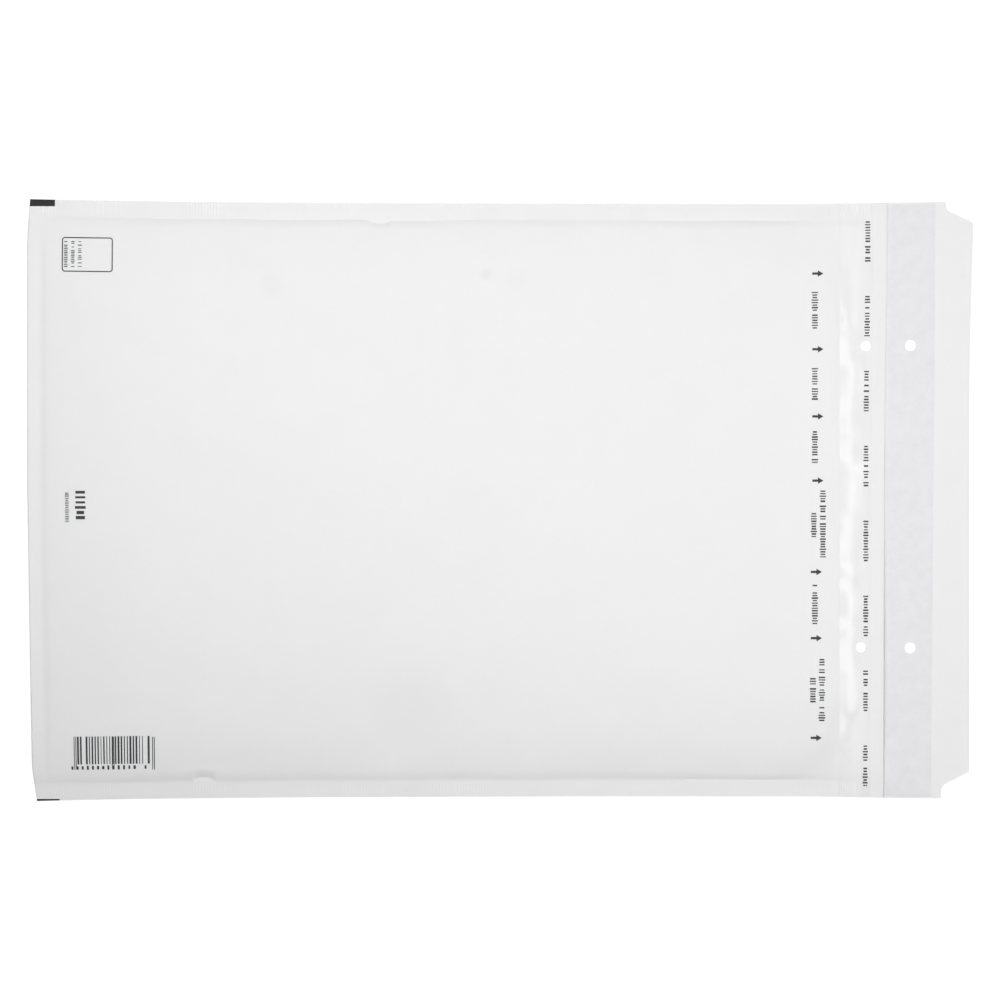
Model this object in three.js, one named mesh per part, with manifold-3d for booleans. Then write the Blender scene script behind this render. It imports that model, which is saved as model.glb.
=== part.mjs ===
// A white padded envelope, empty, lying on its back with its flap open.
// Millimetres, +Z up. X runs from the bottom fold to the tip of the flap, Y across the width.
// The origin is on the floor, under the middle of the whole length.
import * as THREE from "three";
import { mergeVertices } from "three/addons/utils/BufferGeometryUtils.js";
import Module from "manifold-3d";

// Overall sizes
const bodyLength = 455; // bottom fold to the edge of the front panel
const panelWidth = 320; // across both side seals
const flapLength = 47; // front panel's edge to the flap's tip

// Thicknesses
const paperThickness = 0.12;
const filmThickness = 0.1; // the lining where its bubbles are pressed flat
const padThickness = 2.2; // the lining over its bubbles
const pocketHeight = 5; // free height between the two linings
const filmClearance = 0.1; // between the paper and the lining
const tapeThickness = 0.05;
const adhesiveThickness = 0.1;
const linerThickness = 0.08;
const stripClearance = 0.03; // under each strip that is stuck on

// Side seals, where both papers are welded together through the film
const sealWidth = 8.5;
const seamHeight = 2.3; // underside of the seals above the floor
const weldGap = 0.15; // free height where the two linings lie on each other
const sideRise = 22; // from a side seal to the full thickness
const mouthSideRise = 40; // the same at the mouth, where the lip is free

// Bottom fold
const foldBand = 9; // flattened band beside the fold
const foldRise = 13; // from the band to the full thickness
const foldLow = 1.2; // underside of the band above the floor
const foldHigh = 5.2; // top of the band above the floor

// Mouth
const lipLength = 14; // front panel beyond the end of the padding
const mouthSlope = 11; // over which the padding runs out
const filmSetback = 5; // end of the film behind the front panel's edge
const lipDroop = 0.2; // of the front panel's edge below the roof of the pocket

// Flap, its cut corners and its strips
const flapTipHeight = 0.6; // underside of the tip above the floor
const creaseOffset = 1.5; // the flap's crease beyond the front panel's edge
const notchLength = 15; // cut corner along the flap
const notchDepth = 4.5; // step at its inner end
const tipInset = 11.25; // end of the tip's straight edge from the flap's side
const notchRadius = 3.8; // round in the corner of the cut
const linerWidth = 25.5;
const linerInset = 1; // liner from the front panel's edge, and from the flap's sides
const adhesiveWidth = 20;
const adhesiveEndInset = 6; // end of the adhesive from the flap's sides
const tapeWidth = 18.5;
const tapeInset = 6.5; // tape from the front panel's edge

// Holes for a paper fastener, which meet when the flap is folded down
const holeDiameter = 6;
const holeSpacing = 160;
const holeInset = 10.5; // from the front panel's edge
const holeShift = 1.9; // both holes towards +Y from the middle of the width

// Fineness of the curved stretches
const slopeSteps = 4;
const sideSteps = 7;
const foldSteps = 6;
const holeSides = 24;
const cutterHeight = 60;
const overlap = 5; // how far a cutter runs past what it cuts

// Worked out from the sizes above
const totalLength = bodyLength + flapLength;
const halfWidth = panelWidth / 2;
const seamLine = halfWidth - sealWidth;
const packHeight = 2 * (paperThickness + filmClearance + padThickness) + pocketHeight;
const sealTop = seamHeight + 2 * (paperThickness + filmClearance + filmThickness);
const padEnd = bodyLength - lipLength;
const slopeStart = padEnd - mouthSlope;
const foldSlopeEnd = foldBand + foldRise;
const foldRadius = (foldHigh - foldLow) / 2;
const lipTop = packHeight - padThickness + filmThickness;
const creaseAt = bodyLength + creaseOffset;

const wasm = await Module();
wasm.setup();

// Small helpers
const mix = (from, to, part) => from + (to - from) * part;
const clamp01 = (value) => Math.min(1, Math.max(0, value));
const share = (value, from, to) => clamp01((value - from) / (to - from));
const smooth = (t) => t * t * (3 - 2 * t);
const ramp = (value, from, to) => smooth(share(value, from, to));
const steps = (from, to, count) => Array.from({ length: count + 1 }, (_, i) => mix(from, to, i / count));
const uniqueSorted = (values) => [...new Set(values)].sort((a, b) => a - b);

// How far the panels have risen from the side seals at a place: 0 at the seam, 1 at full height.
function sideShare(along, across) {
  const rise = mix(sideRise, mouthSideRise, ramp(along, slopeStart - sideRise, padEnd));
  return 1 - (1 - share(seamLine - Math.abs(across), 0, rise)) ** 3;
}

// Height of the front panel's outer face.
function frontHeight(along, across) {
  const padded = mix(foldHigh, packHeight, ramp(along, foldBand, foldSlopeEnd));
  const lip = mix(padded, lipTop, ramp(along, slopeStart, padEnd));
  const droop = lipDroop * share(along, padEnd, bodyLength);
  return mix(sealTop, lip - droop, sideShare(along, across));
}

// Height of the back panel's outer face, and of the flap that continues it.
function backHeight(along, across) {
  const padded = mix(foldLow, 0, ramp(along, foldBand, foldSlopeEnd));
  const lip = mix(padded, seamHeight, ramp(along, slopeStart, padEnd));
  return mix(seamHeight, lip, sideShare(along, across)) - flapDrop(along);
}

function flapDrop(along) {
  return (seamHeight - flapTipHeight) * share(along, bodyLength, totalLength);
}

// Places along the length where the panels change, from the fold to the edge of the front panel.
const alongStations = uniqueSorted([
  ...steps(foldBand, foldSlopeEnd, slopeSteps),
  ...steps(slopeStart, padEnd, slopeSteps),
  (foldSlopeEnd + slopeStart) / 2,
  bodyLength - tapeInset,
  bodyLength - filmSetback,
  bodyLength,
]);

// Places across the width, close together beside the seams.
function acrossStations(outer) {
  const half = steps(0, 1, sideSteps).map((s) => seamLine - mouthSideRise * s * s);
  return uniqueSorted([outer, ...half, half.at(-1) / 2, 0].flatMap((y) => (y ? [y, -y] : [0])));
}

const place = (along, across, height) => new THREE.Vector3(along - totalLength / 2, across, height);

// The folded line of the pack at one place across: along the back, round the fold and along the front.
// inset moves it inwards from the outer face of the paper.
function foldedLine(across, inset, backEnd, frontEnd) {
  const back = alongStations.filter((s) => s < Math.min(backEnd, bodyLength)).reverse();
  const front = alongStations.filter((s) => s < frontEnd);
  const tail = uniqueSorted([backEnd, Math.min(backEnd, bodyLength)]).reverse();
  const low = backHeight(foldBand, across) + inset;
  const high = frontHeight(foldBand, across) - inset;
  const bend = steps(-Math.PI / 2, Math.PI / 2, foldSteps).map((angle) => {
    const along = foldRadius - (foldRadius - inset) * Math.cos(angle);
    return place(along, across, mix(low, high, (1 + Math.sin(angle)) / 2));
  });
  return [
    ...[...tail, ...back].map((s) => place(s, across, backHeight(s, across) + inset)),
    ...bend,
    ...[...front, frontEnd].map((s) => place(s, across, frontHeight(s, across) - inset)),
  ];
}

// A closed solid through a row of closed rings that all have the same number of points.
// Each ring is a line and its return, so its end is closed by strips from the one to the other.
function loft(rings) {
  const size = rings[0].length;
  const points = rings.flat();
  const faces = [];
  const quad = (a, b, c, d) => {
    const first = points[a].distanceTo(points[c]) <= points[b].distanceTo(points[d]);
    faces.push(...(first ? [a, b, c, a, c, d] : [a, b, d, b, c, d]));
  };
  for (let r = 0; r + 1 < rings.length; r++) {
    for (let i = 0; i < size; i++) {
      const next = (i + 1) % size;
      quad(r * size + i, r * size + next, (r + 1) * size + next, (r + 1) * size + i);
    }
  }
  const lastStart = (rings.length - 1) * size;
  for (let i = 0; i < Math.floor((size - 1) / 2); i++) {
    const rim = uniqueSorted([i, i + 1, size - 2 - i, size - 1 - i]);
    for (let k = 1; k + 1 < rim.length; k++) {
      faces.push(rim[0], rim[k + 1], rim[k]);
      faces.push(lastStart + rim[0], lastStart + rim[k], lastStart + rim[k + 1]);
    }
  }
  const geometry = new THREE.BufferGeometry().setFromPoints(points);
  return geometry.setIndex(faces);
}

// A sheet between two lines of points at each place across.
function sheet(places, outerLine, innerLine) {
  return loft(places.map((y) => [...outerLine(y), ...innerLine(y).reverse()]));
}

// Geometry to a solid that can be joined and cut, and back.
function toSolid(geometry) {
  const bare = geometry.clone();
  bare.deleteAttribute("normal");
  bare.deleteAttribute("uv");
  const merged = mergeVertices(bare, 1e-4);
  const vertProperties = merged.attributes.position.array;
  const triVerts = new Uint32Array(merged.index.array);
  return new wasm.Manifold(new wasm.Mesh({ numProp: 3, vertProperties, triVerts }));
}

function toGeometry(solid) {
  const mesh = solid.getMesh();
  const geometry = new THREE.BufferGeometry();
  geometry.setAttribute("position", new THREE.BufferAttribute(mesh.vertProperties, mesh.numProp));
  geometry.setIndex(new THREE.BufferAttribute(mesh.triVerts, 1));
  geometry.computeVertexNormals();
  return geometry;
}

// Punches for the fastener holes at one distance along the length.
function holePunches(along) {
  return [-1, 1].map((side) => {
    const punch = new THREE.CylinderGeometry(holeDiameter / 2, holeDiameter / 2, cutterHeight, holeSides);
    punch.rotateX(Math.PI / 2);
    const at = place(along, (side * holeSpacing) / 2 + holeShift, 0);
    return toSolid(punch.translate(at.x, at.y, at.z));
  });
}

// The piece cut away from one corner of the flap: a short step, a round inner corner and a long slant.
function cornerCutter(side) {
  const tip = place(totalLength, halfWidth - tipInset, 0);
  const step = place(totalLength - notchLength, halfWidth, 0);
  const inner = new THREE.Vector2(step.x, halfWidth - notchDepth);
  const slant = new THREE.Vector2(tip.x, tip.y).sub(inner).normalize();
  const cornerAngle = Math.PI / 2 + Math.atan2(-slant.y, slant.x);
  const tangent = notchRadius / Math.tan(cornerAngle / 2);
  const centre = new THREE.Vector2(inner.x + notchRadius, inner.y + tangent);
  const endAngle = Math.atan2(slant.x, -slant.y) + Math.PI;
  const past = tip.clone().addScaledVector(new THREE.Vector3(slant.x, slant.y, 0), overlap);
  const outline = new THREE.Shape();
  outline.moveTo(step.x, halfWidth + overlap);
  outline.lineTo(inner.x, centre.y);
  outline.absarc(centre.x, centre.y, notchRadius, Math.PI, endAngle, false);
  outline.lineTo(past.x, past.y);
  outline.lineTo(past.x, halfWidth + overlap);
  const mirrored = new THREE.Shape(outline.getPoints(6).map((p) => new THREE.Vector2(p.x, side * p.y)));
  const cutter = new THREE.ExtrudeGeometry(mirrored, { depth: cutterHeight, bevelEnabled: false });
  return toSolid(cutter.translate(0, 0, -cutterHeight / 2));
}

const punch = (solid, punches) => punches.reduce((rest, cutter) => rest.subtract(cutter), solid);
const lipPunches = holePunches(bodyLength - holeInset);
const flapPunches = holePunches(2 * creaseAt - (bodyLength - holeInset));

// Outer paper: one sheet from the flap's tip along the back, round the bottom fold and along the front.
function outerPaper() {
  const line = (inset) => (y) => foldedLine(y, inset, totalLength, bodyLength);
  const folded = toSolid(sheet(acrossStations(halfWidth), line(0), line(paperThickness)));
  return punch(folded, [...lipPunches, ...flapPunches, cornerCutter(1), cornerCutter(-1)]);
}

// Bubble lining: a folded film inside the paper, welded to itself in both side seals and open at the mouth.
function bubbleLining() {
  const filmEnd = bodyLength - filmSetback;
  const inset = paperThickness + filmClearance;
  const block = loft(acrossStations(halfWidth).map((y) => foldedLine(y, inset, filmEnd, filmEnd)));
  return punch(toSolid(block).subtract(pocket(inset)), lipPunches);
}

// The space inside the lining, from the fold to beyond the mouth.
function pocket(inset) {
  const stations = uniqueSorted([...alongStations, totalLength]);
  const wall = (s, y) => {
    const padding = mix(padThickness, filmThickness, ramp(s, slopeStart, padEnd));
    const clear = frontHeight(s, y) - backHeight(Math.min(s, bodyLength), y) - 2 * inset;
    return inset + Math.min(padding, (clear - weldGap) / 2);
  };
  const ring = (y) => {
    const floor = stations.map((s) => place(s, y, backHeight(Math.min(s, bodyLength), y) + wall(s, y)));
    const roof = stations.map((s) => place(s, y, frontHeight(s, y) - wall(s, y)));
    return [...floor.reverse(), ...roof];
  };
  return toSolid(loft(acrossStations(seamLine).map(ring)));
}

// Re-open tape: a clear film on the front panel's mouth, where the flap's adhesive lands.
function reopenTape() {
  const tapeEnd = bodyLength - tapeInset;
  const stations = uniqueSorted([tapeEnd - tapeWidth, ...alongStations]);
  const covered = stations.filter((s) => s >= tapeEnd - tapeWidth && s <= tapeEnd);
  const line = (lift) => (y) => covered.map((s) => place(s, y, frontHeight(s, y) + lift)).reverse();
  const strip = sheet(acrossStations(halfWidth), line(stripClearance), line(stripClearance + tapeThickness));
  return punch(toSolid(strip), lipPunches);
}

// A flat strip on the flap's inner face.
function flapStrip(from, width, endInset, lift, thickness) {
  const ends = [halfWidth - endInset, endInset - halfWidth].sort((a, b) => a - b);
  const top = (s, height) => seamHeight - flapDrop(s) + paperThickness + height;
  const line = (height) => (y) => [from + width, from].map((s) => place(s, y, top(s, height)));
  return punch(toSolid(sheet(ends, line(lift), line(lift + thickness))), flapPunches);
}

const linerStart = bodyLength + linerInset;
const adhesiveStart = linerStart + (linerWidth - adhesiveWidth) / 2;
const adhesiveTop = stripClearance + adhesiveThickness;

function adhesiveStrip() {
  return flapStrip(adhesiveStart, adhesiveWidth, adhesiveEndInset, stripClearance, adhesiveThickness);
}

function releaseLiner() {
  return flapStrip(linerStart, linerWidth, linerInset, adhesiveTop + stripClearance, linerThickness);
}

// Finishes
const finish = (color, roughness) => new THREE.MeshStandardMaterial({ color, roughness, metalness: 0 });
const whitePaper = finish(0xf1f1f1, 0.7);
const clearFilm = finish(0xe9eef0, 0.25);
const glossTape = finish(0xf4f4f5, 0.2);
const paleGlue = finish(0xe8e2cf, 0.4);
const siliconePaper = finish(0xe6e7ec, 0.5);

const envelope = new THREE.Group();
function addPiece(name, solid, material) {
  const piece = new THREE.Mesh(toGeometry(solid), material);
  piece.name = name;
  envelope.add(piece);
}

addPiece("outer_paper", outerPaper(), whitePaper);
addPiece("bubble_lining", bubbleLining(), clearFilm);
addPiece("reopen_tape", reopenTape(), glossTape);
addPiece("adhesive_strip", adhesiveStrip(), paleGlue);
addPiece("release_liner", releaseLiner(), siliconePaper);

export default envelope;
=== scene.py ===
import math

import bpy
import numpy as np
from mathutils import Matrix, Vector
from mathutils.geometry import delaunay_2d_cdt


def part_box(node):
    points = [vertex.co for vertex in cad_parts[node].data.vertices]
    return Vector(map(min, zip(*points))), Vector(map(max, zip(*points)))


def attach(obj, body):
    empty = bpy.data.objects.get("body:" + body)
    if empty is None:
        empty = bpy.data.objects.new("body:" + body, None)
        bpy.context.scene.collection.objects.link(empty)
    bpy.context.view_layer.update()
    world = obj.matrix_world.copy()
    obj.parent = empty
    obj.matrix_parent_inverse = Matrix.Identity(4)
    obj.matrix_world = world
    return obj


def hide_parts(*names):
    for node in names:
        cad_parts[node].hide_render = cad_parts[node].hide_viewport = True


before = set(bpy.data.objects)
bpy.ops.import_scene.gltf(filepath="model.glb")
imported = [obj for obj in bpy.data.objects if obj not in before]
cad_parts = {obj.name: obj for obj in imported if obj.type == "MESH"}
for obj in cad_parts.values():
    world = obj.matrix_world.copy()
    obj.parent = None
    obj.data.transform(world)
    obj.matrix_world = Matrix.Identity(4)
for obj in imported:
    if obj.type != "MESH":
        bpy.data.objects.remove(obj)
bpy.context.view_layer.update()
mm = 0.001
photoSide = 1000  # pixels across the square photograph
pixel = 0.532  # millimetres that one pixel covers


# Sizes of the envelope in millimetres, read from the frame where the frame has them
paperLow, paperHigh = (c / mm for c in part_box("outer_paper"))
tapeLow, tapeHigh = (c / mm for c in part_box("reopen_tape"))
linerLow, linerHigh = (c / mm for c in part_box("release_liner"))
glueLow, glueHigh = (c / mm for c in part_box("adhesive_strip"))
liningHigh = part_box("bubble_lining")[1] / mm

env = {
    "foldX": paperLow.x,
    "mouthX": liningHigh.x + 5,  # the paper reaches that much beyond its lining
    "tipX": paperHigh.x,
    "halfWidth": paperHigh.y,
    "height": paperHigh.z,
    "paper": 0.12,
    "film": 0.06,
    "seal": 9.2,
    "sealUnder": 2.3,
    "sealTop": 2.94,
    "sealTilt": (1.25, 40, 165),  # the lower seal lies lower and the upper one higher, up to the mouth
    "sealDroop": (1.0, 1.1),  # how far the lower and the upper seal hang towards their edges
    "lowerRise": ((0.1, 6, 2), (0.3, 30, 1.8), (0.6, 78, 1.6)),  # steps up from the lower seal: share,
    "upperRise": ((0.19, 5, 2), (0.81, 50, 2.2)),  # reach and roundness of each, and the same for the upper
    "rightReach": (0.62, 30, 150),  # the lower rise is that much shorter near the mouth, and where
    "backRise": 0.5,  # power by which the back comes down sooner than the front goes up
    "band": 7.6,
    "bandRise": ((0.17, 4, 2), (0.83, 64, 2.2)),
    "bandLow": 1.2,
    "bandHigh": 6.2,
    "foldDepth": 0.6,  # how far the bend reaches inwards from the fold
    "slopeStart": 174.5,
    "padEnd": 192,
    "lipTop": 5.3,
    "tipUnder": 0.6,
    "holeRadius": 3,
    "holeY": (-79.3, 83.05),
    "lipHoleX": (192.2, 194.1),
    "flapHoleX": (218.56, 217.63),
}
foldRadius = (env["bandHigh"] - env["bandLow"]) / 2
foldInner = env["foldX"] + env["foldDepth"]
print("frame loaded, envelope", round(paperHigh.x - paperLow.x), "x", round(2 * env["halfWidth"]), "mm")


# Small maths on whole arrays
def mix(a, b, t):
    return a + (b - a) * t


def ramp(value, start, end):
    t = np.clip((value - start) / (end - start), 0, 1)
    return t * t * (3 - 2 * t)


waveSpread = (0.7, 1.6)  # shortest and longest of the waves that are summed, as shares of the given length
wavePhase = 7


def waves(x, y, wavelength, seed, count=14):
    rng = np.random.default_rng(seed)
    total = np.zeros(np.broadcast(x, y).shape)
    for _ in range(count):
        angle = rng.uniform(0, 2 * math.pi)
        k = 2 * math.pi / (wavelength * rng.uniform(*waveSpread))
        total = total + np.sin(k * (x * math.cos(angle) + y * math.sin(angle)) + rng.uniform(0, wavePhase))
    return total / math.sqrt(count)


# The whole plan is a little out of square: drawn in between fold and flap, skewed at both ends
plan = {
    "narrowing": (2.62, 110),  # how far each side is drawn in, and how soon
    "flapReturn": (1.3, 150, 250),  # how much of that the flap gives back, and where
    "foldLean": (2.3, 8, 149),  # the lower part of the fold: how far in, from where and over what length
    "cornerPull": ((2.7, 138, 168), (1.6, 135, 168)),  # lower and upper corner of the fold, and where
    "foldReach": 60,
    "mouthSkew": 0.45,
    "mouthLean": (1.0, 30, 140),  # how far the upper part of the lip reaches out, and where
    "linerSkew": 1.25,
    "tipBack": 1.35,
    "tipFlare": (1.9, 50, 88),  # the upper part of the tip: how far out, from where and over what length
    "tipCurve": (1.2, 1.4),  # the flare goes on to that share of its length, and bends by that power
    "seamWander": (0.2, 70, 5),  # height and length of the seams' waves, and how far in they reach
    "seamRows": (-90.0, 40.0),  # where the lower and the upper seam take their waves from
}
seeds = {"seam": 3, "broad": 11, "small": 12, "pucker": 13, "scallop": 14, "lip": 15, "flap": 16,
         "crinkle": 17, "ribs": 19}


def narrowing(x):
    inward, reach = plan["narrowing"]
    back, start, end = plan["flapReturn"]
    return 1 - (inward * (1 - np.exp(-np.clip(x - env["foldX"], 0, None) / reach))
                - back * ramp(x, start, end)) / env["halfWidth"]


def foldPull(x, y):
    depth, start, length = plan["foldLean"]
    (lower, *lowerSpan), (upper, *upperSpan) = plan["cornerPull"]
    lean = depth * np.clip((start - y) / length, 0, None)
    corner = lower * ramp(-y, *lowerSpan) + upper * ramp(y, *upperSpan)
    return (lean + corner) * (1 - ramp(x, env["foldX"], env["foldX"] + plan["foldReach"]))


def flapSkew(x, y):
    out, start, length = plan["tipFlare"]
    across = y / env["halfWidth"]
    lean, low, high = plan["mouthLean"]
    atMouth = plan["mouthSkew"] * across + lean * ramp(y, low, high)
    atMouth = atMouth * ramp(x, env["slopeStart"], env["mouthX"])
    most, power = plan["tipCurve"]
    atTip = out * np.clip((y - start) / length, 0, most) ** power - plan["tipBack"]
    onLiner = np.clip((x - env["mouthX"]) / (linerHigh.x - env["mouthX"]), 0, 1)
    atEnd = np.clip((x - linerHigh.x) / (env["tipX"] - linerHigh.x), 0, 1)
    return mix(mix(atMouth, plan["linerSkew"] * across, onLiner), atTip, atEnd)


def fromSeam(y):  # distance inwards from the seal
    return env["halfWidth"] - env["seal"] - np.abs(y)


def warpPlan(x, y):
    height, length, reach = plan["seamWander"]
    lowerRow, upperRow = plan["seamRows"]
    wander = height * waves(x, np.where(y > 0, upperRow, lowerRow), length, seeds["seam"])
    wander = wander * np.exp(-(fromSeam(y) / reach) ** 2)
    return x + foldPull(x, y) + flapSkew(x, y), y * narrowing(x) + wander * np.sign(y)


def placed(x, y, z):
    wx, wy = warpPlan(x, y)
    return np.stack([wx, wy, z], axis=-1) * mm


# Places in the photograph: on the drawn-in plan, and on the square one before it is drawn in
def seenAt(px, py):
    return (px - photoSide / 2) * pixel, (photoSide / 2 - py) * pixel


def fromPhoto(px, py):
    x, y = seenAt(px, py)
    return x, float(y / narrowing(x))


# How the paper lies: heights of the front, the back and the flap, in millimetres
lie = {
    "broadWave": (0.28, 130),  # height and length of the slow waves
    "smallWave": (0.05, 34),
    "imprint": (0.018, 10.6, (0.5, 0.866)),  # bubbles showing through: height, pitch and slant of the rows
    "pucker": (0.32, 26, 9, 0.25),  # height, length, reach and squeeze of the gathers beside the seals
    "scallop": ((0.8, 12), (0.9, 42)),  # the last row of bubbles under the tape: reach and length
    "scallopSpan": (178, 186),
    "slopeRoundness": 0.7,
    "slopeShift": (6, (96, 138), (65, 125)),  # the padding ends that much earlier towards both seals,
    "slopeEase": (26, (128, 158), (116, 150)),  # its slope is longer and flatter beside them,
    "slopeSteep": (1.8, (92, 108), (122, 134)),  # and shorter between two places on the lower half
    "calmFold": (8, 34),  # waves begin that far from the fold
    "calmMouth": (0.85, 165, 183),  # and lose that much before the mouth
    "bowReach": 7,
    "wrinkleStart": 2,
    "crinkle": (0.022, 7),
    "crinkleSpan": ((175, 180), (193, 199)),
    "lipWave": (0.2, 90),
    "lipDroop": (1.4, 2.58),  # how far the lip comes down on its lower and on its upper half
    "lipTurn": (-60, 40),  # where the one goes over into the other
    "lipBend": 3,  # the lip bends that far before the padding ends
    "crease": (1.1, 0.42, 0.16),  # depth and half width of the flap's crease, and its share in the upper half
    "creaseTurn": (-60, 120),
    "creaseX": 204.7,
    "flapWave": (0.22, 110, 0.3),  # height, length and squeeze
}
dents = [  # pixel, reach along and across, depth
    ((411, 738), 24, 21, 1.4),
    ((486, 275), 2.6, 2.6, 0.12),
    ((515, 281), 7, 5, 0.10),
    ((272, 285), 7, 7, 0.12),
    ((132, 334), 1.6, 1.6, 0.06),
    ((240, 762), 30, 5, 0.25),
    ((700, 560), 40, 24, 0.16),
]
arches = [  # where a seam bows into the panel: pixel, side, half length and height
    ((204, 778), -1, 6.2, 2.6),
    ((380, 222), 1, 6.4, 2.2),
]
wrinkles = [  # short ridges beside the seams: pixel to pixel, half width and height
    ((277, 223), (291, 233), 0.9, 0.35),
    ((367, 228), (393, 228), 1.6, 0.2),
    ((191, 770), (217, 770), 2.4, 0.35),
    ((387, 779), (391, 752), 1.5, 0.2),
    ((839, 743), (849, 758), 0.7, 0.22),
]


def rise(distance, parts, stretch=1.0):
    return sum(share * (1 - (1 - np.clip(distance / (reach * stretch), 0, 1)) ** power)
               for share, reach, power in parts)


def bow(x, y):
    total = 0.0
    for pixelPlace, side, reach, height in arches:
        place = fromPhoto(*pixelPlace)[0]
        arch = height * np.clip(1 - ((x - place) / reach) ** 2, 0, 1)
        arch = arch * np.exp(-(fromSeam(y) / lie["bowReach"]) ** 2)
        total = total + np.where(np.sign(y) == side, arch, 0.0)
    return total


def wrinkle(x, y):
    total = 0.0
    for first, last, width, height in wrinkles:
        (ax, ay), (bx, by) = fromPhoto(*first), fromPhoto(*last)
        half = math.dist((ax, ay), (bx, by)) / 2
        alongX, alongY = (bx - ax) / half / 2, (by - ay) / half / 2
        u = (x - (ax + bx) / 2) * alongX + (y - (ay + by) / 2) * alongY
        v = (y - (ay + by) / 2) * alongX - (x - (ax + bx) / 2) * alongY
        total = total + height * np.exp(-(u / half) ** 2 - (v / width) ** 2)
    return total


def sideShare(x, y):
    inside = fromSeam(y) - bow(x, y)
    shorter, start, end = env["rightReach"]
    lower = rise(inside, env["lowerRise"], mix(1, shorter, ramp(x, start, end)))
    return np.where(y > 0, rise(inside, env["upperRise"]), lower)


def sealDroop(y):
    lower, upper = env["sealDroop"]
    return np.where(y > 0, upper, lower) * np.clip(-fromSeam(y) / env["seal"], 0, 1)


def sealLift(x, y):
    tilt, start, end = env["sealTilt"]
    return tilt * y / env["halfWidth"] * (1 - ramp(x, start, end))


def imprint(x, y):
    height, pitch, (along, across) = lie["imprint"]
    k = 2 * math.pi / pitch
    rows = np.cos(k * (along * x + across * y)) + np.cos(k * (along * x - across * y))
    return (np.cos(k * x) + rows) * height


def relief(x, y):
    height, length = lie["broadWave"]
    total = height * waves(x, y, length, seeds["broad"])
    height, length = lie["smallWave"]
    total = total + height * waves(x, y, length, seeds["small"]) + imprint(x, y)
    for (px, py), along, across, depth in dents:
        cx, cy = fromPhoto(px, py)
        total = total - depth * np.exp(-((x - cx) / along) ** 2 - ((y - cy) / across) ** 2)
    height, length, reach, squeeze = lie["pucker"]
    gather = waves(x, squeeze * y, length, seeds["pucker"])
    return total + height * gather * np.exp(-np.clip(fromSeam(y), 0, None) / reach)


def scallop(y):
    return sum(reach * waves(y, 0 * y, length, seeds["scallop"] + i)
               for i, (reach, length) in enumerate(lie["scallop"]))


def crinkle(x, y):  # small folds of the tape and of the paper under it
    height, length = lie["crinkle"]
    start, end = lie["crinkleSpan"]
    return height * waves(x, y, length, seeds["crinkle"]) * ramp(x, *start) * (1 - ramp(x, *end))


def towardsSeals(y, size):  # a size that grows towards the lower and the upper seal
    amount, lower, upper = size
    return amount * (ramp(y, *upper) + ramp(-y, *lower))


def frontZ(x, y):
    padded = mix(env["bandHigh"], env["height"], rise(x - env["foldX"] - env["band"], env["bandRise"]))
    along = x - scallop(y) * ramp(x, *lie["scallopSpan"]) + towardsSeals(y, lie["slopeShift"])
    steep, steepFrom, steepTo = lie["slopeSteep"]
    start = env["slopeStart"] - towardsSeals(y, lie["slopeEase"])
    start = start + steep * ramp(-y, *steepFrom) * (1 - ramp(-y, *steepTo))
    straight = np.clip((along - start) / (env["padEnd"] - start), 0, 1)
    share = mix(straight, ramp(along, start, env["padEnd"]), lie["slopeRoundness"])
    height, length = lie["lipWave"]
    upper = ramp(y, *lie["lipTurn"])
    lipEdge = height * waves(y, 0 * y, length, seeds["lip"]) * (1 - upper) - mix(*lie["lipDroop"], upper)
    lip = env["lipTop"] + lipEdge * ramp(x, env["padEnd"] - lie["lipBend"], env["mouthX"])
    calmer, *mouthSpan = lie["calmMouth"]
    calm = ramp(x - env["foldX"], *lie["calmFold"]) * (1 - calmer * ramp(x, *mouthSpan))
    top = mix(padded + relief(x, y) * calm, lip, share) + crinkle(x, y)
    body = mix(env["sealTop"] + sealLift(x, y), top, sideShare(x, y)) - sealDroop(y)
    return body + wrinkle(x, y) * ramp(fromSeam(y), 0, lie["wrinkleStart"])


def flapZ(x, y):
    t = np.clip((x - env["mouthX"]) / (env["tipX"] - env["mouthX"]), 0, 1)
    height, length, squeeze = lie["flapWave"]
    depth, halfWidth, least = lie["crease"]
    groove = np.clip(1 - np.abs(x - lie["creaseX"]) / halfWidth, 0, 1)
    groove = groove * depth * mix(least, 1, ramp(-y, *lie["creaseTurn"]))
    slack = height * waves(y, squeeze * x, length, seeds["flap"]) * t
    return mix(env["sealUnder"] - sealDroop(y) * (1 - t), env["tipUnder"], t) + slack - groove


def backZ(x, y):
    padded = mix(env["bandLow"], 0.0, rise(x - env["foldX"] - env["band"], env["bandRise"]))
    lip = mix(padded, env["sealUnder"], ramp(x, env["slopeStart"], env["padEnd"]))
    body = mix(env["sealUnder"] + sealLift(x, y), lip, sideShare(x, y) ** env["backRise"]) - sealDroop(y)
    return np.where(x > env["mouthX"], flapZ(x, y), body)


# Meshes and objects
sharpFrom = {"plain": 50, "paper": 24, "bubbles": 70}  # edges stay sharp from that many degrees
inwards, outwards = -1, 1  # the side on which a sheet gets its thickness


def addObject(name, mesh):
    obj = bpy.data.objects.new(name, mesh)
    bpy.context.scene.collection.objects.link(obj)
    return obj


def meshFrom(name, points, faces):
    mesh = bpy.data.meshes.new(name)
    mesh.from_pydata([tuple(p) for p in points], [], [tuple(f) for f in faces])
    mesh.validate()
    return addObject(name, mesh)


def settle(obj):  # modifiers become the object's own mesh
    depsgraph = bpy.context.evaluated_depsgraph_get()
    mesh = bpy.data.meshes.new_from_object(obj.evaluated_get(depsgraph), depsgraph=depsgraph)
    obj.modifiers.clear()
    obj.data = mesh
    return obj


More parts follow.
